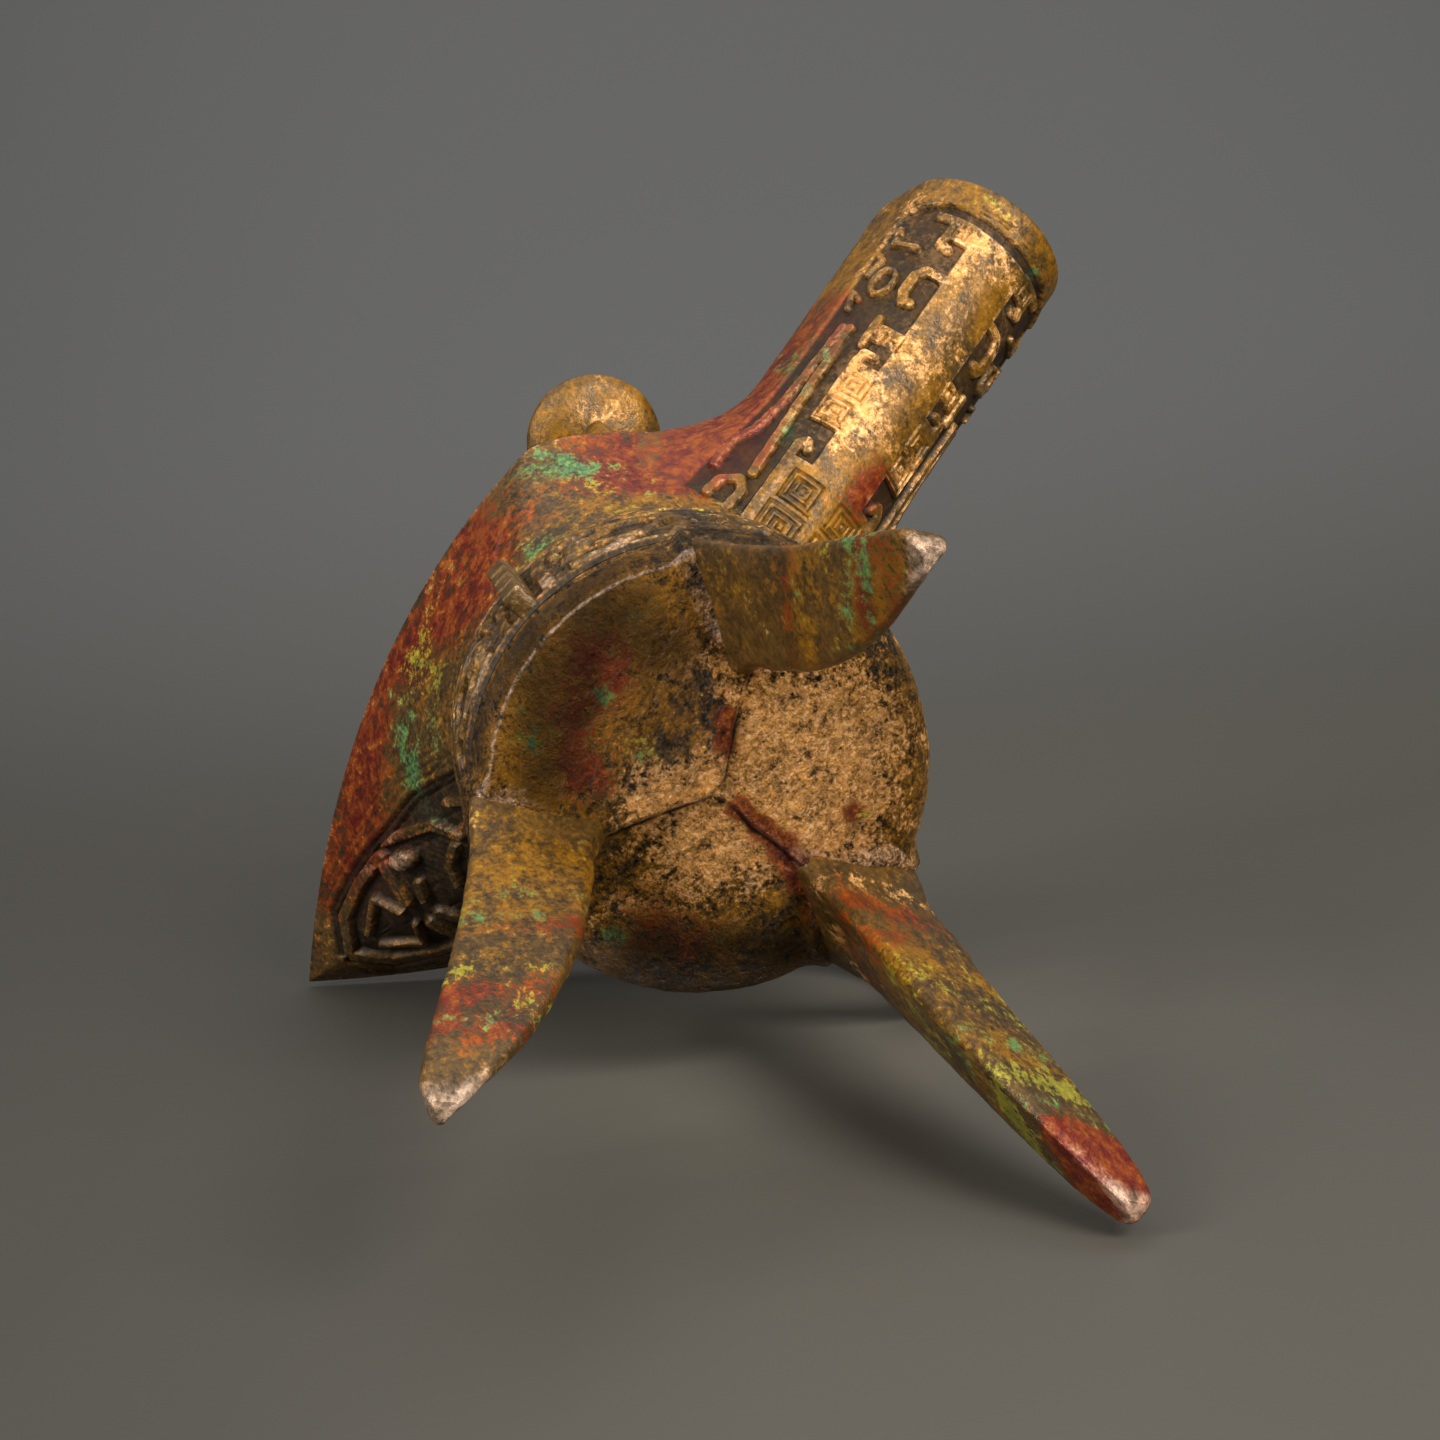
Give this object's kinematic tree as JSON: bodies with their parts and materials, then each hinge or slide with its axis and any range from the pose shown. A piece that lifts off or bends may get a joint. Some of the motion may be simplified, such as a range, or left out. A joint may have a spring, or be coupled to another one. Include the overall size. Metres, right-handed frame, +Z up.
{
  "type": "ritual wine cup",
  "caption": "Three-legged bronze drinking cup with a long spout, a pointed tail, two capped posts, a strap handle and blade legs.",
  "frame": {"origin": "middle of the standing cup's footprint box, on the plane the three feet stand on", "axes": "+X towards the spout, +Y towards the handle, +Z up"},
  "size_m": [0.1742, 0.0944, 0.2015],
  "materials": {
    "bronze": "patinated cast bronze, brown and green with ochre and red patches"
  },
  "bodies": {
    "root": {"cup": "bronze"}
  },
  "joints": []
}
